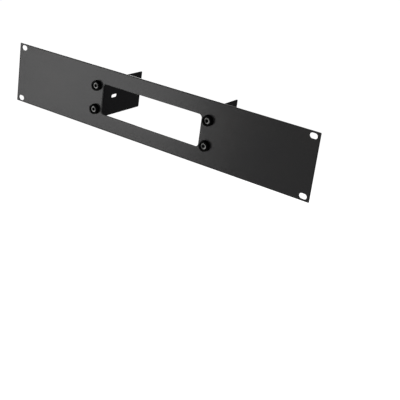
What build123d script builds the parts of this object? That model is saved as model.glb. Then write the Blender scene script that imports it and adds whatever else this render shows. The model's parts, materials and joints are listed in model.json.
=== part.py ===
from build123d import *
import os

# A 2U panel for a 19 inch rack, with a window for a small radio and two bent
# brackets behind it that hold the radio by its sides.
# Millimetres. X runs along the panel, -Y is the front and Z is up. The origin is
# the middle of the panel's rear face, which seats on the rails of the rack.

# Face panel
panel_width = 482.6
panel_height = 88.1
panel_thickness = 2.0
panel_corner_radius = 1.0

# Slots for the rack's screws, each measured from the panel's own edges
rack_slot_from_end = 8.75
rack_slot_from_edge = 5.95
rack_slot_length = 10.2
rack_slot_width = 7.2

# Window that the radio's front stands in
window_width = 161.0
window_height = 43.4
window_corner_radius = 4.5

# Bent brackets, each with a front flange behind the panel and a long side flange
bracket_thickness = 1.5
bracket_lap = 5.3
bracket_beyond_screw = 10.75
bracket_reach = 86.0
bracket_bend_radius = 1.5
bracket_corner_radius = 1.5
bracket_window_clearance = 0.25

# Slot in each side flange for the radio's own side screw
side_slot_length = 12.0
side_slot_width = 4.8
side_slot_from_panel = 25.0

# Four M5 screws with low heads hold the brackets to the panel
screw_from_window = 10.5
screw_from_bracket_end = 10.0
screw_diameter = 5.0
screw_length = 12.0
head_diameter = 8.5
head_height = 3.0
socket_across_flats = 4.0
socket_depth = 2.0
screw_hole_clearance = 0.25
thread_clearance = 0.05

# Cup washer, whose rim stands higher than the screw head in it
cup_base_diameter = 15.0
cup_rim_diameter = 13.6
cup_height = 5.2
cup_floor = 0.6
cup_head_clearance = 0.25
cup_bore_clearance = 0.15

# Plain washer, spring washer and nut behind each bracket
washer_diameter = 10.0
washer_thickness = 1.0
washer_bore_clearance = 0.15
spring_diameter = 9.2
spring_thickness = 1.2
spring_bore_clearance = 0.1
spring_split_gap = 0.8
spring_split_lean = 30.0
nut_across_flats = 8.0
nut_height = 4.0

# What follows from the sizes above
rack_slot_spacing_x = panel_width - 2 * rack_slot_from_end
rack_slot_spacing_z = panel_height - 2 * rack_slot_from_edge
bracket_height = window_height + 2 * bracket_lap
screw_x = window_width / 2 + screw_from_window
screw_z = bracket_height / 2 - screw_from_bracket_end
bracket_inner_face = window_width / 2 + bracket_window_clearance
bracket_front_end = screw_x + bracket_beyond_screw
bracket_middle_radius = bracket_bend_radius + bracket_thickness / 2
screw_hole_diameter = screw_diameter + 2 * screw_hole_clearance
panel_front = -panel_thickness
head_underside = panel_front - cup_floor
head_end = head_underside - head_height
screw_tip = head_underside + screw_length
washer_seat = bracket_thickness
spring_seat = washer_seat + washer_thickness
nut_seat = spring_seat + spring_thickness

# Each screw's place on the panel, and how far its socket is turned
screw_places = {
    "upper_left": (-screw_x, screw_z, 8.0),
    "lower_left": (-screw_x, -screw_z, 23.0),
    "upper_right": (screw_x, screw_z, 17.0),
    "lower_right": (screw_x, -screw_z, 4.0),
}


def finish(piece, label):
    piece.part.label = label
    export_step(piece.part, f"parts/{label}.step")


def section_plane(x, z):
    """The plane through a screw's axis, with X as its radius and Y as its length."""
    return Plane(origin=(x, 0, z), x_dir=(1, 0, 0), z_dir=(0, 0, 1))


def screw_axis(x, z):
    return Axis((x, 0, z), (0, 1, 0))


# Face panel: flat sheet with the window, the rack slots and the screw holes
def make_face_panel():
    with BuildPart() as face_panel:
        with BuildSketch(Plane.XZ):
            RectangleRounded(panel_width, panel_height, panel_corner_radius)
            RectangleRounded(window_width, window_height, window_corner_radius, mode=Mode.SUBTRACT)
            with GridLocations(rack_slot_spacing_x, rack_slot_spacing_z, 2, 2):
                SlotOverall(rack_slot_length, rack_slot_width, mode=Mode.SUBTRACT)
            with GridLocations(2 * screw_x, 2 * screw_z, 2, 2):
                Circle(screw_hole_diameter / 2, mode=Mode.SUBTRACT)
        extrude(amount=panel_thickness)
    finish(face_panel, "face_panel")


# Bracket: one strip bent to an angle, with screw holes in front and a slot at its side
def make_bracket(side, label):
    front_end = side * bracket_front_end
    side_middle = side * (bracket_inner_face + bracket_thickness / 2)
    front_middle = bracket_thickness / 2
    with BuildPart() as bracket:
        with BuildSketch(Plane.XY.offset(-bracket_height / 2)):
            with BuildLine():
                FilletPolyline(
                    (front_end, front_middle),
                    (side_middle, front_middle),
                    (side_middle, bracket_reach),
                    radius=bracket_middle_radius,
                )
            trace(line_width=bracket_thickness)
        extrude(amount=bracket_height)
        rear_corners = bracket.edges().filter_by(Axis.X).group_by(Axis.Y)[-1]
        front_corners = bracket.edges().filter_by(Axis.Y).filter_by(
            lambda edge: abs(abs(edge.center().X) - abs(front_end)) < bracket_thickness / 10
            and edge.length < 2 * bracket_thickness
        )
        fillet(rear_corners + front_corners, bracket_corner_radius)
        with BuildSketch(Plane.XZ):
            with Locations((side * screw_x, screw_z), (side * screw_x, -screw_z)):
                Circle(screw_hole_diameter / 2)
        extrude(amount=-bracket_thickness, mode=Mode.SUBTRACT)
        with BuildSketch(Plane.YZ.offset(side_middle)):
            with Locations((side_slot_from_panel, 0)):
                SlotOverall(side_slot_length, side_slot_width)
        extrude(amount=bracket_thickness, both=True, mode=Mode.SUBTRACT)
    finish(bracket, label)


# Screw: low round head with a six-sided socket, and a plain shank
def make_screw(x, z, turn, label):
    with BuildPart() as screw:
        with BuildSketch(section_plane(x, z)):
            with BuildLine():
                Polyline(
                    (0, head_end),
                    (head_diameter / 2, head_end),
                    (head_diameter / 2, head_underside),
                    (screw_diameter / 2, head_underside),
                    (screw_diameter / 2, screw_tip),
                    (0, screw_tip),
                    close=True,
                )
            make_face()
        revolve(axis=screw_axis(x, z))
        with BuildSketch(Plane(origin=(x, head_end, z), x_dir=(1, 0, 0), z_dir=(0, -1, 0))):
            RegularPolygon(socket_across_flats / 2, 6, major_radius=False, rotation=turn)
        extrude(amount=-socket_depth, mode=Mode.SUBTRACT)
    finish(screw, label)


# Cup washer: a short tapered cup whose floor lies under the screw head
def make_cup_washer(x, z, label):
    bore = screw_diameter / 2 + cup_bore_clearance
    well = head_diameter / 2 + cup_head_clearance
    rim = panel_front - cup_height
    with BuildPart() as cup:
        with BuildSketch(section_plane(x, z)):
            with BuildLine():
                Polyline(
                    (bore, panel_front),
                    (cup_base_diameter / 2, panel_front),
                    (cup_rim_diameter / 2, rim),
                    (well, rim),
                    (well, head_underside),
                    (bore, head_underside),
                    close=True,
                )
            make_face()
        revolve(axis=screw_axis(x, z))
    finish(cup, label)


# Plain washer against the bracket
def make_plain_washer(x, z, label):
    with BuildPart() as washer:
        with BuildSketch(Plane.XZ.offset(-washer_seat)):
            with Locations((x, z)):
                Circle(washer_diameter / 2)
                Circle(screw_diameter / 2 + washer_bore_clearance, mode=Mode.SUBTRACT)
        extrude(amount=-washer_thickness)
    finish(washer, label)


# Spring washer: a flat ring with a slanted split
def make_spring_washer(x, z, label):
    ring_middle = spring_seat + spring_thickness / 2
    ring_mean_radius = (spring_diameter + screw_diameter) / 4
    with BuildPart() as spring:
        with BuildSketch(Plane.XZ.offset(-spring_seat)):
            with Locations((x, z)):
                Circle(spring_diameter / 2)
                Circle(screw_diameter / 2 + spring_bore_clearance, mode=Mode.SUBTRACT)
        extrude(amount=-spring_thickness)
        split_plane = Plane(origin=(x, ring_middle, z + ring_mean_radius), x_dir=(1, 0, 0), z_dir=(0, 0, 1))
        with BuildSketch(split_plane):
            Rectangle(spring_split_gap, 3 * spring_thickness, rotation=spring_split_lean)
        extrude(amount=spring_diameter / 4, both=True, mode=Mode.SUBTRACT)
    finish(spring, label)


# Hexagon nut
def make_nut(x, z, turn, label):
    with BuildPart() as nut:
        with BuildSketch(Plane.XZ.offset(-nut_seat)):
            with Locations((x, z)):
                RegularPolygon(nut_across_flats / 2, 6, major_radius=False, rotation=turn)
                Circle(screw_diameter / 2 + thread_clearance, mode=Mode.SUBTRACT)
        extrude(amount=-nut_height)
    finish(nut, label)


os.makedirs("parts", exist_ok=True)
make_face_panel()
make_bracket(-1, "bracket_left")
make_bracket(1, "bracket_right")
for place, (x, z, turn) in screw_places.items():
    make_screw(x, z, turn, f"screw_{place}")
    make_cup_washer(x, z, f"cup_washer_{place}")
    make_plain_washer(x, z, f"plain_washer_{place}")
    make_spring_washer(x, z, f"spring_washer_{place}")
    make_nut(x, z, turn, f"nut_{place}")
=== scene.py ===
# %% [markdown]
# # A 2U rack panel with a window and two bent brackets
#
# The object is flat sheet steel under black powder coat. It closes two units of a 19 inch
# rack and carries a small radio in its window. Its main pieces are sheet, so each of them
# starts here as a cut blank, which gets its thickness, its softened edges and then its bend,
# in the order in which a sheet shop makes them. The frame gives the places and outer sizes.

# %% Load the frame
import json
from math import cos, pi, radians, sin, tan

import bmesh
import bpy
from mathutils import Matrix, Vector


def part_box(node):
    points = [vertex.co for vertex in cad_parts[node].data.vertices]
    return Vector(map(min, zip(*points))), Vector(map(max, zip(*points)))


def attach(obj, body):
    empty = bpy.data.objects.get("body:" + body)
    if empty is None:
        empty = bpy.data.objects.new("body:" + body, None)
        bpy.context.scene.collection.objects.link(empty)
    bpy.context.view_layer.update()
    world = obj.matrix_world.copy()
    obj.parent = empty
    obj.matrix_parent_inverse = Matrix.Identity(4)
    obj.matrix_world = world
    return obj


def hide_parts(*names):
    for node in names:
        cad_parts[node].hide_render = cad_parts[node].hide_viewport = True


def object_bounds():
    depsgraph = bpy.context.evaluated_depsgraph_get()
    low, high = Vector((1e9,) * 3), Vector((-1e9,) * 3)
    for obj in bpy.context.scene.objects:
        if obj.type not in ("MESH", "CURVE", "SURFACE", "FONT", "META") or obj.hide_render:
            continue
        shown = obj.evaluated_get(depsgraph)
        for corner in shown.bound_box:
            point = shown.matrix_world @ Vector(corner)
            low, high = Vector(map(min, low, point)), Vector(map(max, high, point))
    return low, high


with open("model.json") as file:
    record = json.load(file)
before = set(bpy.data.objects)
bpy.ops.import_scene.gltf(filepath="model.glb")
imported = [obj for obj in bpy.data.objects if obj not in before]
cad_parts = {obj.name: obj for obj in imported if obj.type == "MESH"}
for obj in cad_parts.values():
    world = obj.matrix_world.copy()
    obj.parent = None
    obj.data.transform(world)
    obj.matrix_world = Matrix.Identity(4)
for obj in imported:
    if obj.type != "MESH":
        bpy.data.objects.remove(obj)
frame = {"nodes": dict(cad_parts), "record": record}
cad_low, cad_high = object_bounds()
scene = bpy.context.scene
scene.view_settings.view_transform = "Standard"
MM = 0.001
print("nodes in the frame:", len(frame["nodes"]))


# %% [markdown]
# ## Sizes that the frame gives
#
# A node's box holds its lowest and highest corner. The sheet's thickness, the brackets'
# reach and each screw's place can be read from such boxes, so a change in the model is
# followed here by itself. What a box can't tell, such as a corner's radius or how far a
# screw's socket is turned, is a named value.

# %% Read the sizes
panel_low, panel_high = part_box("face_panel")
panel_width = panel_high.x - panel_low.x
panel_height = panel_high.z - panel_low.z
panel_thickness = panel_high.y - panel_low.y
panel_front = panel_low.y
SCREW_TURNS = {"upper_left": 8.0, "lower_left": 23.0, "upper_right": 17.0, "lower_right": 4.0}


def axis_of(node_name):
    """Where the axis of a round node stands, as X and Z."""
    low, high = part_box(node_name)
    return (low.x + high.x) / 2, (low.z + high.z) / 2


screw_axes = {place: axis_of("cup_washer_" + place) for place in SCREW_TURNS}
print("panel", round(panel_width / MM, 1), "x", round(panel_height / MM, 1), "mm")
print("screws in mm:", {place: (round(x / MM, 1), round(z / MM, 1)) for place, (x, z) in screw_axes.items()})


# %% [markdown]
# ## Camera
#
# The panel is seen from the right and from above, through a lens of middle length, with the
# camera leaning so that the panel slopes down to the right. The camera could be placed by
# eye, but a panel of known size fixes it: its four corners say where the eye was. The picture
# was cut from a taller one, which is what the lens's vertical shift stands for.

# %% Camera at the photograph's place
CAMERA_PLACE = Vector((0.5316, -0.7754, 0.2965))
CAMERA_AZIMUTH = 30.56
CAMERA_ELEVATION = 15.95
CAMERA_ROLL = 7.68
FOCAL_PIXELS = 741.3
IMAGE_WIDTH = 400
SENSOR_WIDTH = 36.0
VERTICAL_SHIFT = -0.25
NEAREST_SEEN = 0.01


def add_object(name, data):
    """A new object at the origin of the scene, which shows this data."""
    made = bpy.data.objects.new(name, data)
    scene.collection.objects.link(made)
    return made


def camera_axes(azimuth, elevation, roll):
    """The camera's own X, Y and Z axes in the frame. Z points from the object to the eye."""
    a, e, r = radians(azimuth), radians(elevation), radians(roll)
    back = Vector((sin(a) * cos(e), -cos(a) * cos(e), sin(e)))
    level = (-back).cross(Vector((0, 0, 1))).normalized()
    upright = level.cross(-back)
    right = level * cos(r) + upright * sin(r)
    return right, back.cross(right), back


camera_data = bpy.data.cameras.new("camera")
camera_data.sensor_width = SENSOR_WIDTH
camera_data.lens = FOCAL_PIXELS * SENSOR_WIDTH / IMAGE_WIDTH
camera_data.shift_y = VERTICAL_SHIFT
camera_data.clip_start = NEAREST_SEEN
camera = add_object("camera", camera_data)
camera_turn = Matrix(camera_axes(CAMERA_AZIMUTH, CAMERA_ELEVATION, CAMERA_ROLL)).transposed()
camera.matrix_world = Matrix.Translation(CAMERA_PLACE) @ camera_turn.to_4x4()
scene.camera = camera
print("lens", round(camera_data.lens, 1), "mm, distance", round(CAMERA_PLACE.length, 3), "m")


# %% [markdown]
# ## Floor, backdrop and light
#
# The picture's ground is plain white. A white room would also light the black coat from all
# sides and turn it grey, so the white is only what the camera, a reflection or glass sees.
# The light that falls on the object comes from a low soft box at the front left, which the
# satin panel mirrors faintly, from one above and one behind, and from a pale sky. The floor
# lies low, so that the first soft box stands above it. It gives most of its white itself, to
# the same three kinds of ray only, and the light that falls on it adds the rest, so that it
# can still show a shadow.

# %% Node helpers
def node(tree, kind, **settings):
    """A new node of this kind with these settings."""
    made = tree.nodes.new(kind)
    for name, value in settings.items():
        setattr(made, name, value)
    return made


def feed(tree, socket, value):
    """Sets an input socket to a number or a colour, or links another node's output to it."""
    if isinstance(value, tuple):
        socket.default_value = (*value, 1)
    elif isinstance(value, (int, float)):
        socket.default_value = value
    else:
        tree.links.new(value, socket)


def feed_by_name(tree, target, values):
    """Feeds several inputs of a node, each given by its name."""
    for name, value in values.items():
        feed(tree, target.inputs[name], value)


def calculate(tree, operation, first, second, clamp=False):
    """What a Math node makes of two numbers or sockets."""
    made = node(tree, "ShaderNodeMath", operation=operation, use_clamp=clamp)
    feed(tree, made.inputs[0], first)
    feed(tree, made.inputs[1], second)
    return made.outputs[0]


def spread(tree, value, low, high):
    """A value from 0 to 1 becomes one from low to high."""
    made = node(tree, "ShaderNodeMapRange")
    feed_by_name(tree, made, {"Value": value, "To Min": low, "To Max": high})
    return made.outputs[0]


def seen_directly(tree):
    """1 for a ray from the camera, a reflection or glass, and 0 for light on a surface."""
    path = node(tree, "ShaderNodeLightPath").outputs
    camera_or_gloss = calculate(tree, "MAXIMUM", path["Is Camera Ray"], path["Is Glossy Ray"])
    return calculate(tree, "MAXIMUM", camera_or_gloss, path["Is Transmission Ray"])


# %% World and floor
WHITE = (1.0, 1.0, 1.0)
SKY_LIGHT = 0.20
FLOOR_DROP = 0.66
FLOOR_SIZE = 30.0
FLOOR_COLOUR = (0.85, 0.85, 0.85)
FLOOR_ROUGHNESS = 0.9
FLOOR_GLOW = 0.85


def make_world():
    world = bpy.data.worlds.new("pale_room")
    world.use_nodes = True
    tree = world.node_tree
    strength = spread(tree, seen_directly(tree), SKY_LIGHT, 1.0)
    feed_by_name(tree, tree.nodes["Background"], {"Color": WHITE, "Strength": strength})
    scene.world = world


def new_material(name):
    """A material, its node tree and the shader that the nodes will feed."""
    material = bpy.data.materials.new(name)
    material.use_nodes = True
    tree = material.node_tree
    return material, tree, tree.nodes["Principled BSDF"]


def make_floor():
    half = FLOOR_SIZE / 2
    level = cad_low.z - FLOOR_DROP
    corners = [(x, y, level) for x, y in ((-half, -half), (half, -half), (half, half), (-half, half))]
    mesh = bpy.data.meshes.new("floor")
    mesh.from_pydata(corners, [], [(0, 1, 2, 3)])
    floor = add_object("floor", mesh)
    material, tree, surface = new_material("white_floor")
    feed_by_name(tree, surface, {
        "Base Color": FLOOR_COLOUR,
        "Roughness": FLOOR_ROUGHNESS,
        "Specular IOR Level": 0.0,
        "Emission Color": WHITE,
        "Emission Strength": calculate(tree, "MULTIPLY", seen_directly(tree), FLOOR_GLOW),
    })
    mesh.materials.append(material)


make_world()
make_floor()
print("floor", FLOOR_DROP, "m under the object")


# %% Soft boxes
OBJECT_MIDDLE = (0, 0.04, 0)


def soft_box(name, place, target, width, height, power):
    """A lamp with a rectangle of light, which faces its target. Sizes in metres, power in watts."""
    light = bpy.data.lights.new(name, "AREA")
    light.shape = "RECTANGLE"
    light.size = width
    light.size_y = height
    light.energy = power
    lamp = add_object(name, light)
    lamp.location = place
    lamp.rotation_euler = (Vector(target) - Vector(place)).to_track_quat("-Z", "Y").to_euler()
    print(name, "at", place, "with", power, "W")


soft_box(
    "left_soft_box",
    place=(-0.93, -1.0, -0.27),
    target=(-0.93, 0, -0.27),
    width=0.86,
    height=0.59,
    power=9.35,
)
soft_box("top_soft_box", place=(0.5, 0.2, 1.2), target=OBJECT_MIDDLE, width=1.2, height=1.2, power=8)
soft_box("rear_soft_box", place=(-1.0, 0.9, 0.3), target=OBJECT_MIDDLE, width=1.0, height=1.0, power=14)


# %% [markdown]
# ## Shader groups
#
# Several finishes share an effect, and each such effect is a node group of its own. Grain is
# the fine skin of a powder coat: it melts into low bumps, like an orange's peel, with a finer
# grit on top. Edge rub finds outer edges by comparing the true normal with one that is
# rounded over a small radius, and breaks the result up with noise. Clouding is the faint,
# wide unevenness that handling and heat leave. They put out values only, so that each
# material decides what they mean.

# %% Group builder
FLOAT = "NodeSocketFloat"
VECTOR = "NodeSocketVector"


def new_group(name, inputs, outputs):
    """A shader node group with a Vector input. inputs maps names to default numbers.
    Returns the group, the sockets that bring its inputs in and the node that takes its outputs."""
    group = bpy.data.node_groups.new(name, "ShaderNodeTree")
    group.interface.new_socket(name="Vector", in_out="INPUT", socket_type=VECTOR)
    for label, default in inputs.items():
        socket = group.interface.new_socket(name=label, in_out="INPUT", socket_type=FLOAT)
        socket.default_value = default
    for label in outputs:
        group.interface.new_socket(name=label, in_out="OUTPUT", socket_type=FLOAT)
    print("group", name, "takes", ["Vector", *inputs], "and gives", outputs)
    return group, node(group, "NodeGroupInput").outputs, node(group, "NodeGroupOutput")


def noise(tree, vector, scale, detail, roughness):
    """A noise texture's value, from 0 to 1."""
    made = node(tree, "ShaderNodeTexNoise")
    feed_by_name(tree, made, {"Vector": vector, "Scale": scale, "Detail": detail, "Roughness": roughness})
    return made.outputs["Fac"]


# %% Grain
def make_grain():
    sizes = {"Peel Scale": 700.0, "Grit Scale": 3600.0, "Grit Share": 0.3}
    group, given, result = new_group("grain", sizes, ["Height", "Speck"])
    peel = noise(group, given["Vector"], given["Peel Scale"], detail=1.0, roughness=0.5)
    grit = noise(group, given["Vector"], given["Grit Scale"], detail=2.0, roughness=0.6)
    height = calculate(group, "ADD", peel, calculate(group, "MULTIPLY", grit, given["Grit Share"]))
    feed_by_name(group, result, {"Height": height, "Speck": grit})
    return group


GRAIN = make_grain()


# %% Edge rub
EDGE_SAMPLES = 6


def make_edge_rub():
    sizes = {"Radius": 0.6 * MM, "Break Scale": 260.0, "Gain": 3.0}
    group, given, result = new_group("edge_rub", sizes, ["Rub"])
    rounded = node(group, "ShaderNodeBevel", samples=EDGE_SAMPLES)
    feed(group, rounded.inputs["Radius"], given["Radius"])
    true_normal = node(group, "ShaderNodeNewGeometry").outputs["Normal"]
    match = node(group, "ShaderNodeVectorMath", operation="DOT_PRODUCT")
    feed(group, match.inputs[0], rounded.outputs["Normal"])
    feed(group, match.inputs[1], true_normal)
    turned_away = calculate(group, "SUBTRACT", 1.0, match.outputs["Value"])
    edge = calculate(group, "MULTIPLY", turned_away, given["Gain"], clamp=True)
    patches = noise(group, given["Vector"], given["Break Scale"], detail=3.0, roughness=0.65)
    feed(group, result.inputs["Rub"], calculate(group, "MULTIPLY", edge, patches, clamp=True))
    return group


EDGE_RUB = make_edge_rub()


# %% Clouding
SMEAR_STRETCH = (0.35, 1.0, 1.6)


def make_clouding():
    sizes = {"Cloud Scale": 14.0, "Smear Scale": 60.0}
    group, given, result = new_group("clouding", sizes, ["Cloud", "Smear"])
    cloud = noise(group, given["Vector"], given["Cloud Scale"], detail=3.0, roughness=0.55)
    stretched = node(group, "ShaderNodeVectorMath", operation="MULTIPLY")
    feed(group, stretched.inputs[0], given["Vector"])
    stretched.inputs[1].default_value = SMEAR_STRETCH
    smear = noise(group, stretched.outputs[0], given["Smear Scale"], detail=4.0, roughness=0.6)
    feed_by_name(group, result, {"Cloud": cloud, "Smear": smear})
    return group


CLOUDING = make_clouding()


# %% [markdown]
# ## Finishes
#
# The panel and the brackets are powder coated: a dark base under a satin or matt skin, with
# the grain as a low bump, a little clouding in colour and gloss, and edges where the coat
# drew thin. The cups are black nylon, moulded, so finer and duller. The screws are black
# oxide on steel, and their sockets, which hardly any light reaches, get painted shade: a
# nearly black colour. What sits behind the brackets is zinc plated, brighter and slightly
# mottled. A value that is the same all over sits on the shader's own socket.

# %% Material helpers
def place_group(tree, group, vector, **sizes):
    """A node with this group in it. A size's name has _ where the socket's name has a space."""
    made = node(tree, "ShaderNodeGroup", node_tree=group)
    feed(tree, made.inputs["Vector"], vector)
    for name, value in sizes.items():
        feed(tree, made.inputs[name.replace("_", " ")], value)
    return made.outputs


def blend_colours(tree, factor, first, second):
    """The first colour where factor is 0 and the second where it is 1."""
    made = node(tree, "ShaderNodeMix", data_type="RGBA")
    feed(tree, made.inputs["Factor"], factor)
    first_colour, second_colour = made.inputs[6:8]
    feed(tree, first_colour, first)
    feed(tree, second_colour, second)
    return made.outputs[2]


# %% One builder for all the finishes
RELIEF_STRENGTH = 0.6
# Nearly black: painted shade for the screws' sockets, where hardly any light reaches.
PAINTED_SOCKET_SHADE_COLOUR = (0.002, 0.002, 0.002)


def make_finish(name, dark, light, rubbed, gloss, specular, bump, metal=0.0, paints_socket_shade=False, **grain_sizes):
    """dark and light are the coat's colours and rubbed its edges' colour. gloss is the
    roughness from its smoothest to its dullest place, and bump the grain's height in metres."""
    material, tree, surface = new_material(name)
    place = node(tree, "ShaderNodeTexCoord").outputs["Object"]
    grain = place_group(tree, GRAIN, place, **grain_sizes)
    rub = place_group(tree, EDGE_RUB, place)
    clouds = place_group(tree, CLOUDING, place)
    colour = blend_colours(tree, clouds["Cloud"], dark, light)
    colour = blend_colours(tree, rub["Rub"], colour, rubbed)
    # Where the mesh marks a socket, the colour turns nearly black: painted shade.
    if paints_socket_shade:
        recess = node(tree, "ShaderNodeAttribute", attribute_name="recess")
        colour = blend_colours(tree, recess.outputs["Fac"], colour, PAINTED_SOCKET_SHADE_COLOUR)
    dullness = calculate(tree, "MULTIPLY", calculate(tree, "ADD", clouds["Smear"], grain["Speck"]), 0.5)
    relief = node(tree, "ShaderNodeBump")
    feed_by_name(tree, relief, {"Distance": bump, "Strength": RELIEF_STRENGTH, "Height": grain["Height"]})
    feed_by_name(tree, surface, {
        "Base Color": colour,
        "Roughness": spread(tree, dullness, *gloss),
        "Specular IOR Level": specular,
        "Metallic": metal,
        "Normal": relief.outputs["Normal"],
    })
    print("finish", name)
    return material


# %% The coats
PANEL_COAT = make_finish(
    "satin_black_coat",
    dark=(0.019, 0.020, 0.022),
    light=(0.029, 0.027, 0.026),
    rubbed=(0.05, 0.05, 0.05),
    gloss=(0.19, 0.29),
    specular=0.13,
    bump=0.1 * MM,
)
BRACKET_COAT = make_finish(
    "matt_black_coat",
    dark=(0.014, 0.014, 0.0145),
    light=(0.019, 0.0185, 0.0195),
    rubbed=(0.03, 0.03, 0.03),
    gloss=(0.55, 0.70),
    specular=0.008,
    bump=0.14 * MM,
    Peel_Scale=900.0,
)
CUP_NYLON = make_finish(
    "black_nylon",
    dark=(0.0005, 0.0005, 0.0005),
    light=(0.0009, 0.0009, 0.0009),
    rubbed=(0.002, 0.002, 0.002),
    gloss=(0.4, 0.55),
    specular=0.02,
    bump=0.05 * MM,
    Peel_Scale=1600.0,
)

# %% The metal finishes
SCREW_STEEL = make_finish(
    "black_oxide",
    dark=(0.036, 0.036, 0.035),
    light=(0.055, 0.055, 0.054),
    rubbed=(0.12, 0.12, 0.12),
    gloss=(0.15, 0.23),
    specular=0.3,
    bump=0.012 * MM,
    metal=0.95,
    # The screws' sockets get painted shade.
    paints_socket_shade=True,
    Peel_Scale=1500.0,
)
ZINC = make_finish(
    "zinc_plate",
    dark=(0.42, 0.43, 0.44),
    light=(0.62, 0.62, 0.60),
    rubbed=(0.75, 0.75, 0.75),
    gloss=(0.25, 0.42),
    specular=0.5,
    bump=0.01 * MM,
    metal=0.95,
    Peel_Scale=1200.0,
)


# %% [markdown]
# ## Sheet: cut, soften, bend
#
# A flat curve with inner loops is a cut blank: filled, it has its holes already, its extrude
# is the sheet's thickness and its bevel the softness that tumbling and paint give each edge,
# round the holes too. The bevel would make the blank larger, so an offset draws it in by as
# much. A boolean would cut the same holes but leave hard, ragged rims. The brackets are such
# blanks too, bent afterwards: the points past the bend line are carried round it, as a press
# brake does, so that the sheet keeps its even thickness.

# %% Closed loops
QUARTER_STEPS = 12
CIRCLE_POINTS = 4 * QUARTER_STEPS


def arc(centre_u, centre_v, radius, start, end):
    """Points of an arc from one angle to another, both in degrees."""
    steps = round((end - start) / 90 * QUARTER_STEPS)
    angles = [radians(start + (end - start) * i / steps) for i in range(steps + 1)]
    return [(centre_u + radius * cos(a), centre_v + radius * sin(a)) for a in angles]


def rectangle_loop(low_u, low_v, high_u, high_v, radius):
    corners = (
        (high_u - radius, high_v - radius, 0),
        (low_u + radius, high_v - radius, 90),
        (low_u + radius, low_v + radius, 180),
        (high_u - radius, low_v + radius, 270),
    )
    return [point for u, v, start in corners for point in arc(u, v, radius, start, start + 90)]


def slot_loop(u, v, length, width):
    straight = (length - width) / 2
    return arc(u + straight, v, width / 2, -90, 90) + arc(u - straight, v, width / 2, 90, 270)


def circle_loop(u, v, radius):
    return arc(u, v, radius, 0, 360 - 360 / CIRCLE_POINTS)


print("points round a hole:", len(circle_loop(0, 0, 1)))


# %% From loops to a sheet
BEVEL_RESOLUTION = 2


def plain_mesh(thing):
    """The evaluated object as a plain mesh object with the same name. thing itself is deleted."""
    name = thing.name
    bpy.context.view_layer.update()
    graph = bpy.context.evaluated_depsgraph_get()
    shown = thing.evaluated_get(graph)
    mesh = bpy.data.meshes.new_from_object(shown, preserve_all_data_layers=True, depsgraph=graph)
    mesh.name = name
    bpy.data.objects.remove(thing)
    return add_object(name, mesh)


def cut_sheet(name, loops, thickness, edge_radius):
    """A plate in the XY plane, centred on it, with every edge rounded."""
    curve = bpy.data.curves.new(name, "CURVE")
    curve.dimensions = "2D"
    curve.fill_mode = "BOTH"
    curve.extrude = thickness / 2 - edge_radius
    curve.bevel_depth = edge_radius
    curve.bevel_resolution = BEVEL_RESOLUTION
    curve.offset = -edge_radius
    for loop in loops:
        spline = curve.splines.new("POLY")
        spline.points.add(len(loop) - 1)
        spline.use_cyclic_u = True
        for point, (u, v) in zip(spline.points, loop):
            point.co = (u, v, 0, 1)
    print(name, "is cut from", len(loops), "loops")
    return plain_mesh(add_object(name, curve))


# %% Cut lines, and points to their places
SAME_PLACE = 0.0001 * MM
ALONG_U = Vector((1, 0, 0))
ALONG_V = Vector((0, 1, 0))


def cut_across(thing, places, direction):
    """Adds cuts across the blank, square to the direction, at these places along it."""
    made = bmesh.new()
    made.from_mesh(thing.data)
    for place in places:
        everything = made.verts[:] + made.edges[:] + made.faces[:]
        bmesh.ops.bisect_plane(made, geom=everything, plane_co=direction * place, plane_no=direction)
    made.to_mesh(thing.data)
    made.free()


def place_points(thing, rule):
    """Moves each point of the mesh from the flat blank to its place in the frame."""
    for point in thing.data.vertices:
        point.co = rule(*point.co)
    made = bmesh.new()
    made.from_mesh(thing.data)
    bmesh.ops.remove_doubles(made, verts=made.verts, dist=SAME_PLACE)
    bmesh.ops.recalc_face_normals(made, faces=made.faces)
    made.to_mesh(thing.data)
    made.free()


# %% The last steps of every piece
CRISP_ANGLE = 40.0


def finish_piece(thing, finish, slot, *nodes, crisp=CRISP_ANGLE):
    """Shades flats and rounded edges evenly, but leaves an edge that turns by more than crisp
    degrees sharp. Then come the finish, the body and the nodes that the piece stands for."""
    thing.data.shade_smooth()
    thing.data.set_sharp_from_angle(angle=radians(crisp))
    even = thing.modifiers.new("even_shading", "WEIGHTED_NORMAL")
    even.mode = "FACE_AREA"
    even.weight = 100
    even.keep_sharp = True
    piece = plain_mesh(thing)
    piece.data.materials.clear()
    piece.data.materials.append(finish)
    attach(piece, "root")
    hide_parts(*nodes)
    print(piece.name, "faces", len(piece.data.polygons))


# %% [markdown]
# ## Face panel
#
# One blank with the window, the four rack slots and four screw holes. The rack slots' sizes
# are part of the frame's record, because a rack screw has to fit them. The shear that cut the
# panel to size drew its front face down a little along the four outer edges, and that is what
# darkens the last line of the coat there. A bevel gives only a quarter round, so the face gets
# a few cuts along each edge, and the points between them sink by a curve.

# %% The panel's sizes
PANEL_EDGE_RADIUS = 0.5 * MM
PANEL_CORNER = 1.0 * MM
WINDOW_WIDTH = 161.0 * MM
WINDOW_HEIGHT = 43.4 * MM
WINDOW_CORNER = 4.5 * MM
SCREW_HOLE_RADIUS = 2.75 * MM
DRAW_DOWN_WIDTH = 2.2 * MM
DRAW_DOWN_DEPTH = 0.35 * MM
DRAW_DOWN_STEPS = 5


def mount_named(name):
    return next(mount for mount in frame["record"]["mounts"] if mount["name"] == name)


rack = mount_named("rack_slots")["dims"]
rack_spacing_x = rack["spacing_x_mm"] * MM
rack_spacing_z = rack["spacing_y_mm"] * MM
rack_slot_length = rack["slot_length_mm"] * MM
rack_slot_width = 2 * rack["hole_r_mm"] * MM
panel_middle = (panel_low.y + panel_high.y) / 2
print("rack slots", rack["slot_length_mm"], "x", 2 * rack["hole_r_mm"], "mm")

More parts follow.
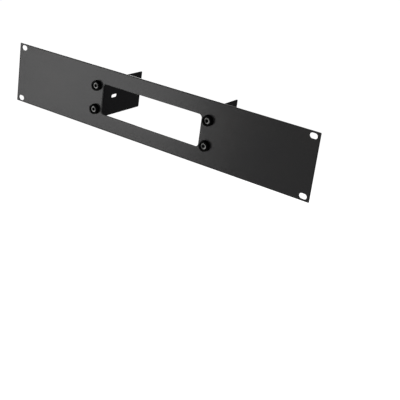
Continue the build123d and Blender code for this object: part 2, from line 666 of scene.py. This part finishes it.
# %% Cut the panel
half_width = panel_width / 2
half_height = panel_height / 2
panel_loops = [
    rectangle_loop(-half_width, -half_height, half_width, half_height, PANEL_CORNER),
    rectangle_loop(-WINDOW_WIDTH / 2, -WINDOW_HEIGHT / 2, WINDOW_WIDTH / 2, WINDOW_HEIGHT / 2, WINDOW_CORNER),
]
for side_x in (-1, 1):
    for side_z in (-1, 1):
        slot_x = side_x * rack_spacing_x / 2
        slot_z = side_z * rack_spacing_z / 2
        panel_loops.append(slot_loop(slot_x, slot_z, rack_slot_length, rack_slot_width))
panel_loops += [circle_loop(x, z, SCREW_HOLE_RADIUS) for x, z in screw_axes.values()]
panel = cut_sheet("coated_face_panel", panel_loops, panel_thickness, PANEL_EDGE_RADIUS)


# %% Draw its edges down and stand it up
def drawn_down(u, v):
    """How far the shear drew the front face down at this place."""
    inside = min(half_width - abs(u), half_height - abs(v))
    return DRAW_DOWN_DEPTH * max(0.0, 1 - inside / DRAW_DOWN_WIDTH) ** 2


def stand_up(u, v, w):
    """Turns the blank's upper side to the front."""
    sunk = drawn_down(u, v) if w > 0 else 0.0
    return u, panel_middle - w + sunk, v


edge_cuts = [DRAW_DOWN_WIDTH * i / DRAW_DOWN_STEPS for i in range(1, DRAW_DOWN_STEPS + 1)]
for half_side, direction in ((half_width, ALONG_U), (half_height, ALONG_V)):
    cuts = [side * (half_side - inside) for side in (-1, 1) for inside in edge_cuts]
    cut_across(panel, cuts, direction)
place_points(panel, stand_up)
finish_piece(panel, PANEL_COAT, "panel_coat", "face_panel")


# %% [markdown]
# ## Brackets
#
# The blank is a strip with two round holes in its short end and one slot in its long end.
# Its flat length is the two straight runs plus the arc at mid thickness. Before the bend,
# the strip gets cuts across it at even steps, because only a strip with points there can
# follow a curve. The left bracket is bent the other way.

# %% The brackets' sizes
BRACKET_THICKNESS = 1.5 * MM
BRACKET_EDGE_RADIUS = 0.3 * MM
BEND_RADIUS = 1.5 * MM
BRACKET_CORNER = 1.5 * MM
SIDE_SLOT_LENGTH = 12.0 * MM
SIDE_SLOT_WIDTH = 4.8 * MM
BEND_STEPS = 10
middle_radius = BEND_RADIUS + BRACKET_THICKNESS / 2
bend_length = middle_radius * pi / 2
side_slot_y = mount_named("side_slot_right")["pos_m"][1]
print("the bend takes", round(bend_length / MM, 2), "mm of the strip, slot at", round(side_slot_y / MM, 1))


# %% Cut and bend
def make_bracket(side, node_name):
    """side is -1 for the left bracket and 1 for the right one."""
    low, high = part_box(node_name)
    outer_end = max(abs(low.x), abs(high.x))
    side_middle = min(abs(low.x), abs(high.x)) + BRACKET_THICKNESS / 2
    front_middle = low.y + BRACKET_THICKNESS / 2
    front_run = outer_end - side_middle - middle_radius
    side_run = high.y - front_middle - middle_radius
    bend_end = front_run + bend_length
    strip_length = bend_end + side_run
    slot_u = strip_length - (high.y - side_slot_y)
    own_screws = [(x, z) for x, z in screw_axes.values() if x * side > 0]
    loops = [
        rectangle_loop(0, low.z, strip_length, high.z, BRACKET_CORNER),
        *[circle_loop(outer_end - abs(x), z, SCREW_HOLE_RADIUS) for x, z in own_screws],
        slot_loop(slot_u, 0, SIDE_SLOT_LENGTH, SIDE_SLOT_WIDTH),
    ]
    strip = cut_sheet("bent_" + node_name, loops, BRACKET_THICKNESS, BRACKET_EDGE_RADIUS)
    cut_across(strip, [front_run + bend_length * i / BEND_STEPS for i in range(BEND_STEPS + 1)], ALONG_U)

    def bend(u, v, w):
        if u <= front_run:
            x, y = outer_end - u, front_middle - w
        elif u >= bend_end:
            x, y = side_middle - w, front_middle + middle_radius + u - bend_end
        else:
            turn = (u - front_run) / middle_radius
            x = side_middle + middle_radius - (middle_radius + w) * sin(turn)
            y = front_middle + middle_radius - (middle_radius + w) * cos(turn)
        return side * x, y, v

    place_points(strip, bend)
    finish_piece(strip, BRACKET_COAT, "bracket_coat", node_name)


make_bracket(-1, "bracket_left")
make_bracket(1, "bracket_right")


# %% [markdown]
# ## Turned pieces
#
# Screws, cups, washers and nuts are all rows of points round one axis. A row is round, or
# has the six flats of a hexagon, or rises and falls with a thread. One function makes them
# all: it asks each row for its radius at each angle, and joins neighbouring rows. A spin
# modifier would do for the round ones only.

# %% Rules for a row's radius
THREAD_PITCH = 0.8 * MM
CREST_CUT = 1.25


def hexagon(flat):
    """The radius at each angle of a hexagon whose flats lie this far from the axis."""
    return lambda angle: flat / cos((angle + pi / 6) % (pi / 3) - pi / 6)


def hexagon_under_cone(flat, limit):
    """The same hexagon, with its corners cut back to limit by a chamfer."""
    six = hexagon(flat)
    return lambda angle: min(six(angle), limit)


def thread(crest, root, y):
    """The radius of a screw thread at y: a V with a flat crest that climbs one pitch a turn."""
    def radius(angle):
        phase = (y / THREAD_PITCH - angle / (2 * pi)) % 1.0
        return root + (crest - root) * min(1.0, CREST_CUT * abs(2 * phase - 1))
    return radius


print("a hexagon's corner lies", round(hexagon(1.0)(pi / 6), 3), "times as far out as its flat")


# %% Rows round an axis
AROUND = 72


def object_from(made, name):
    """Ends mesh making: faces point outwards, and the mesh becomes an object."""
    bmesh.ops.recalc_face_normals(made, faces=made.faces)
    mesh = bpy.data.meshes.new(name)
    made.to_mesh(mesh)
    made.free()
    return add_object(name, mesh)


def turned(name, rows, ring=False, recess=None):
    """rows are (radius or radius by angle, y). A ring joins its last row to its first, and
    any other piece closes both ends on the axis. The last argument, a rule of radius and y,
    gives each point its share of painted shade, from 0 to 1, where light hardly reaches."""
    made = bmesh.new()
    # Each point carries its share of painted shade in this layer.
    depth = made.verts.layers.float.new("recess")
    angles = [2 * pi * i / AROUND for i in range(AROUND)]
    circles = []
    for radius, y in rows:
        rule = radius if callable(radius) else (lambda angle, value=radius: value)
        circle = [made.verts.new((rule(a) * cos(a), y, rule(a) * sin(a))) for a in angles]
        for vert in circle:
            vert[depth] = recess(rule(0), y) if recess else 0.0
        circles.append(circle)
    pairs = list(zip(circles, circles[1:])) + ([(circles[-1], circles[0])] if ring else [])
    for first, second in pairs:
        for i in range(AROUND):
            j = (i + 1) % AROUND
            made.faces.new((first[i], first[j], second[j], second[i]))
    if not ring:
        for circle, y in ((circles[0], rows[0][1]), (circles[-1], rows[-1][1])):
            centre = made.verts.new((0, y, 0))
            centre[depth] = circle[0][depth]
            for i in range(AROUND):
                made.faces.new((circle[i], circle[(i + 1) % AROUND], centre))
    print(name, "has", len(rows), "rows of", AROUND, "points")
    return object_from(made, name)


# %% Rounded corners
def rounded_corner(before, corner, after, radius, steps):
    """Points of the curve that replaces the corner of a profile, as (radius, y) pairs."""
    corner, start, end = Vector(corner), Vector(before), Vector(after)
    first = corner + (start - corner).normalized() * radius
    last = corner + (end - corner).normalized() * radius
    points = []
    for i in range(steps + 1):
        t = i / steps
        points.append(tuple(first.lerp(corner, t).lerp(corner.lerp(last, t), t)))
    return points


def ring_profile(*corners):
    """A closed profile. A corner is (radius, y), or (radius, y, rounding, steps) if it is rounded."""
    points = []
    for i, (radius, y, *rounding) in enumerate(corners):
        if rounding:
            before = corners[i - 1][:2]
            after = corners[(i + 1) % len(corners)][:2]
            points += rounded_corner(before, (radius, y), after, *rounding)
        else:
            points.append((radius, y))
    return points


square = ring_profile((0, 0), (1, 0), (1, 1, 0.2, 4), (0, 1))
print("a square with one corner rounded in 4 steps has", len(square), "points")


# %% [markdown]
# ## One pattern for all the fasteners
#
# Each of the four screws carries the same cup, washers and nut, so one of each is made on
# the axis, and a Geometry Nodes tree sets it at every screw's place. The places come as
# points with a turn of their own: no fitter leaves four sockets standing alike. Turn Share
# says how much of that turn a piece takes. The tree ends in real geometry, which one call
# turns into a plain mesh.

# %% The pattern tree
GEOMETRY = "NodeSocketGeometry"


def make_pattern_tree():
    tree = bpy.data.node_groups.new("set_at_each_screw", "GeometryNodeTree")
    sockets = (
        ("Places", "INPUT", GEOMETRY),
        ("Piece", "INPUT", "NodeSocketObject"),
        ("Turn Share", "INPUT", FLOAT),
        ("Finish", "INPUT", "NodeSocketMaterial"),
        ("Pieces", "OUTPUT", GEOMETRY),
    )
    for name, way, kind in sockets:
        tree.interface.new_socket(name=name, in_out=way, socket_type=kind)
    given, result = node(tree, "NodeGroupInput"), node(tree, "NodeGroupOutput")
    piece = node(tree, "GeometryNodeObjectInfo", transform_space="ORIGINAL")
    turn = node(tree, "GeometryNodeInputNamedAttribute", data_type="FLOAT")
    turn.inputs["Name"].default_value = "turn"
    shared = calculate(tree, "MULTIPLY", turn.outputs["Attribute"], given.outputs["Turn Share"])
    angle = node(tree, "ShaderNodeCombineXYZ")
    set_out = node(tree, "GeometryNodeInstanceOnPoints")
    real = node(tree, "GeometryNodeRealizeInstances")
    coated = node(tree, "GeometryNodeSetMaterial")
    for start, end in (
        (given.outputs["Piece"], piece.inputs["Object"]),
        (shared, angle.inputs["Y"]),
        (given.outputs["Places"], set_out.inputs["Points"]),
        (piece.outputs["Geometry"], set_out.inputs["Instance"]),
        (angle.outputs[0], set_out.inputs["Rotation"]),
        (set_out.outputs[0], real.inputs[0]),
        (real.outputs[0], coated.inputs["Geometry"]),
        (given.outputs["Finish"], coated.inputs["Material"]),
        (coated.outputs[0], result.inputs["Pieces"]),
    ):
        tree.links.new(start, end)
    return tree


PATTERN = make_pattern_tree()
SOCKETS = {item.name: item.identifier for item in PATTERN.interface.items_tree if item.in_out == "INPUT"}
print("the pattern's inputs:", SOCKETS)


# %% Set a piece at every screw
def set_at_screws(name, one, finish, slot, node_name, turn_share=1.0, crisp=CRISP_ANGLE):
    """Sets one at every screw's place and lets the result stand for the four nodes."""
    places = bpy.data.meshes.new(name + "_places")
    places.from_pydata([(x, 0, z) for x, z in screw_axes.values()], [], [])
    turns = places.attributes.new("turn", "FLOAT", "POINT")
    for i, place in enumerate(screw_axes):
        turns.data[i].value = -radians(SCREW_TURNS[place])
    carrier = add_object(name, places)
    pattern = carrier.modifiers.new("pattern", "NODES")
    pattern.node_group = PATTERN
    pattern[SOCKETS["Piece"]] = one
    pattern[SOCKETS["Turn Share"]] = turn_share
    pattern[SOCKETS["Finish"]] = finish
    made = plain_mesh(carrier)
    bpy.data.objects.remove(one)
    nodes = [f"{node_name}_{place}" for place in screw_axes]
    finish_piece(made, finish, slot, *nodes, crisp=crisp)


# %% [markdown]
# ## Cup washers
#
# A short black nylon cup keeps the steel head off the painted face and hides its side. Its
# wall narrows a little to the rim, which is rounded and stands higher than the head, and its
# floor lies under the head.

# %% Cup washers
cup_low, cup_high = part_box("cup_washer_upper_left")
cup_base_radius = (cup_high.x - cup_low.x) / 2
cup_rim = cup_low.y
CUP_RIM_RADIUS = 6.8 * MM
CUP_WELL_RADIUS = 4.5 * MM
CUP_BORE_RADIUS = 2.65 * MM
CUP_FLOOR = 0.6 * MM
CUP_FOOT_ROUNDING = 0.3 * MM
CUP_RIM_ROUNDING = 0.75 * MM
CUP_MOUTH_ROUNDING = 0.3 * MM
head_under = panel_front - CUP_FLOOR

cup_profile = ring_profile(
    (CUP_BORE_RADIUS, panel_front),
    (cup_base_radius, panel_front, CUP_FOOT_ROUNDING, 3),
    (CUP_RIM_RADIUS, cup_rim, CUP_RIM_ROUNDING, 7),
    (CUP_WELL_RADIUS, cup_rim, CUP_MOUTH_ROUNDING, 4),
    (CUP_WELL_RADIUS, head_under),
    (CUP_BORE_RADIUS, head_under),
)
cup = turned("cup", cup_profile, ring=True)
set_at_screws("nylon_cup_washers", cup, CUP_NYLON, "cup_plastic", "cup_washer")


# %% [markdown]
# ## Socket cap screws
#
# The head is a low drum with a fine knurl, which the cup hides, a rounded top edge and a
# hexagon socket whose mouth is eased and whose floor is the cone that the punch leaves. The
# thread starts one pitch under the head and ends at the chamfered tip, behind the nut. Its
# rows stand close, so that the V shows.

# %% Head and socket
head_low, tip_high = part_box("screw_upper_left")
head_end = head_low.y
HEAD_RADIUS = 4.25 * MM
HEAD_ROUNDING = 0.5 * MM
HEAD_ROUNDING_STEPS = 5
HEAD_UNDER_CHAMFER = 0.2 * MM
KNURL_DEPTH = 0.06 * MM
KNURL_TEETH = 36
KNURL_FROM_END = 0.7 * MM
KNURL_FROM_UNDER = 0.35 * MM
SOCKET_FLAT = 2.0 * MM
SOCKET_DEPTH = 2.0 * MM
SOCKET_EASE = 0.18 * MM
SOCKET_CORNER = 1.17 * SOCKET_FLAT
SOCKET_CONE_DEPTH = 0.35 * MM
SOCKET_CONE_TIP = 0.15 * SOCKET_FLAT
SOCKET_FLOOR_FLAT = 0.96 * SOCKET_FLAT
SOCKET_FLOOR_EASE = 0.1 * MM


def knurled(angle):
    return HEAD_RADIUS - KNURL_DEPTH * (0.5 + 0.5 * cos(KNURL_TEETH * angle))


def head_rows():
    """From the bottom of the socket out to its mouth, and over the head to its underside."""
    floor = head_end + SOCKET_DEPTH
    before, corner, after = (0, head_end), (HEAD_RADIUS, head_end), (HEAD_RADIUS, head_under)
    return [
        (SOCKET_CONE_TIP, floor + SOCKET_CONE_DEPTH),
        (hexagon(SOCKET_FLOOR_FLAT), floor),
        (hexagon(SOCKET_FLAT), floor - SOCKET_FLOOR_EASE),
        (hexagon(SOCKET_FLAT), head_end + SOCKET_EASE),
        (SOCKET_CORNER + SOCKET_EASE, head_end),
        *rounded_corner(before, corner, after, HEAD_ROUNDING, HEAD_ROUNDING_STEPS),
        (knurled, head_end + KNURL_FROM_END),
        (knurled, head_under - KNURL_FROM_UNDER),
        (HEAD_RADIUS - HEAD_UNDER_CHAMFER, head_under),
    ]


# Painted shade: 1 on the socket's walls and floor, 0 elsewhere.
def socket_painted_shade_mask(radius, y):
    return 1.0 if radius < SOCKET_CORNER and head_end < y < head_under else 0.0


print("head", round((head_under - head_end) / MM, 2), "mm high, in", len(head_rows()), "rows")

# %% Shank and thread
tip = tip_high.y
SHANK_RADIUS = 2.5 * MM
THREAD_ROOT = 2.07 * MM
THREAD_ROWS_PER_PITCH = 8
NECK_WIDENING = 0.2 * MM
NECK_LENGTH = 0.25 * MM
TIP_CHAMFER = 0.35 * MM
TIP_FIRST_STEP = 0.1 * MM


def within(value):
    return max(0.0, min(1.0, value))


def shank_rows():
    """The neck under the head, the thread, which fades in and out over a pitch, and the tip."""
    start = head_under + THREAD_PITCH
    end = tip - TIP_CHAMFER
    steps = round((end - start) / THREAD_PITCH * THREAD_ROWS_PER_PITCH)
    rows = [(SHANK_RADIUS + NECK_WIDENING, head_under), (SHANK_RADIUS, head_under + NECK_LENGTH)]
    for i in range(steps + 1):
        y = start + (end - start) * i / steps
        crest = THREAD_ROOT + (SHANK_RADIUS - THREAD_ROOT) * within((tip - y) / THREAD_PITCH)
        root = SHANK_RADIUS + (THREAD_ROOT - SHANK_RADIUS) * within((y - start) / THREAD_PITCH)
        rows.append((thread(crest, min(root, crest), y), y))
    rows += [(THREAD_ROOT - TIP_FIRST_STEP, tip - TIP_FIRST_STEP), (THREAD_ROOT - TIP_CHAMFER, tip)]
    return rows


screw = turned("screw", head_rows() + shank_rows(), recess=socket_painted_shade_mask)
set_at_screws("socket_cap_screws", screw, SCREW_STEEL, "screw_steel", "screw")


# %% [markdown]
# ## Plain washers, spring washers and nuts
#
# A stamped washer is rounded on the side where the punch went in. A spring washer is a bar
# of square section, coiled once and cut on a slant, which the nut presses flat. Its cut
# stands open, so its section is carried round from one side of the cut to the other. The
# nut's corners are turned back by a chamfer, so each flat ends in a bow. Its bore is plain,
# because the screw fills it and hides it.

# %% Plain washers
washer_low, washer_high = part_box("plain_washer_upper_left")
washer_radius = (washer_high.x - washer_low.x) / 2
WASHER_BORE_RADIUS = 2.65 * MM
WASHER_BURR_SIDE = 0.08 * MM
WASHER_PUNCH_SIDE = 0.3 * MM
WASHER_BORE_ROUNDING = 0.2 * MM

washer_profile = ring_profile(
    (WASHER_BORE_RADIUS, washer_low.y),
    (washer_radius - WASHER_BURR_SIDE, washer_low.y),
    (washer_radius, washer_low.y + WASHER_BURR_SIDE),
    (washer_radius, washer_high.y, WASHER_PUNCH_SIDE, 4),
    (WASHER_BORE_RADIUS, washer_high.y, WASHER_BORE_ROUNDING, 3),
)
washer = turned("plain_washer", washer_profile, ring=True)
set_at_screws("plain_washers", washer, ZINC, "zinc_steel", "plain_washer")

# %% Spring washers
spring_low, spring_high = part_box("spring_washer_upper_left")
SPRING_RADIUS = 4.6 * MM
SPRING_BORE_RADIUS = 2.6 * MM
SPRING_EDGE = 0.2 * MM
SPRING_EDGE_STEPS = 3
SPLIT_GAP = 0.8 * MM
SPLIT_LEAN = 30.0


def make_spring_washer():
    section = ring_profile(
        (SPRING_BORE_RADIUS, spring_low.y, SPRING_EDGE, SPRING_EDGE_STEPS),
        (SPRING_RADIUS, spring_low.y, SPRING_EDGE, SPRING_EDGE_STEPS),
        (SPRING_RADIUS, spring_high.y, SPRING_EDGE, SPRING_EDGE_STEPS),
        (SPRING_BORE_RADIUS, spring_high.y, SPRING_EDGE, SPRING_EDGE_STEPS),
    )
    mean_radius = (SPRING_RADIUS + SPRING_BORE_RADIUS) / 2
    middle_y = (spring_low.y + spring_high.y) / 2
    made = bmesh.new()
    rings = []
    for i in range(AROUND + 1):
        ring = []
        for radius, y in section:
            slant = (y - middle_y) * tan(radians(SPLIT_LEAN))
            open_start = (SPLIT_GAP / 2 + slant) / mean_radius
            open_end = 2 * pi - (SPLIT_GAP / 2 - slant) / mean_radius
            angle = pi / 2 + open_start + (open_end - open_start) * i / AROUND
            ring.append(made.verts.new((radius * cos(angle), y, radius * sin(angle))))
        rings.append(ring)
    count = len(section)
    for first, second in zip(rings, rings[1:]):
        for k in range(count):
            made.faces.new((first[k], first[(k + 1) % count], second[(k + 1) % count], second[k]))
    made.faces.new(rings[0])
    made.faces.new(rings[-1])
    return object_from(made, "spring_washer")


spring = make_spring_washer()
set_at_screws("split_spring_washers", spring, ZINC, "zinc_steel", "spring_washer", turn_share=0.0)

# %% Nuts
nut_low, nut_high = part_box("nut_upper_left")
NUT_FLAT = 4.0 * MM
NUT_CHAMFER_ANGLE = 30.0
NUT_CHAMFER_ROWS = 6
NUT_CHAMFER_INSIDE = 0.02 * MM
NUT_BORE_RADIUS = SHANK_RADIUS + 0.05 * MM
NUT_MOUTH_RADIUS = SHANK_RADIUS + 0.35 * MM
NUT_MOUTH_DEPTH = 0.3 * MM
NUT_CRISP_ANGLE = 25.0


def nut_rows():
    """From the bore's front mouth over the outside to its rear mouth, and back inside the bore."""
    fall = tan(radians(NUT_CHAMFER_ANGLE))
    chamfer_depth = (NUT_FLAT / cos(pi / 6) - NUT_FLAT) * fall
    chamfer = []
    for i in range(NUT_CHAMFER_ROWS + 1):
        step = chamfer_depth * i / NUT_CHAMFER_ROWS
        chamfer.append((hexagon_under_cone(NUT_FLAT, NUT_FLAT - NUT_CHAMFER_INSIDE + step / fall), step))
    return [
        (NUT_MOUTH_RADIUS, nut_low.y),
        *[(radius, nut_low.y + step) for radius, step in chamfer],
        *[(radius, nut_high.y - step) for radius, step in reversed(chamfer)],
        (NUT_MOUTH_RADIUS, nut_high.y),
        (NUT_BORE_RADIUS, nut_high.y - NUT_MOUTH_DEPTH),
        (NUT_BORE_RADIUS, nut_low.y + NUT_MOUTH_DEPTH),
    ]


nut = turned("nut", nut_rows(), ring=True)
set_at_screws("hexagon_nuts", nut, ZINC, "zinc_steel", "nut", crisp=NUT_CRISP_ANGLE)


# %% [markdown]
# ## Closing
#
# Every node of the frame gets its finish too, hidden or not, so that nothing is bare.

# %% Finish the nodes
NODE_FINISH = {"face": PANEL_COAT, "bracket": BRACKET_COAT, "cup": CUP_NYLON, "screw": SCREW_STEEL}
for name, cad_node in frame["nodes"].items():
    cad_node.data.materials.clear()
    cad_node.data.materials.append(NODE_FINISH.get(name.split("_")[0], ZINC))
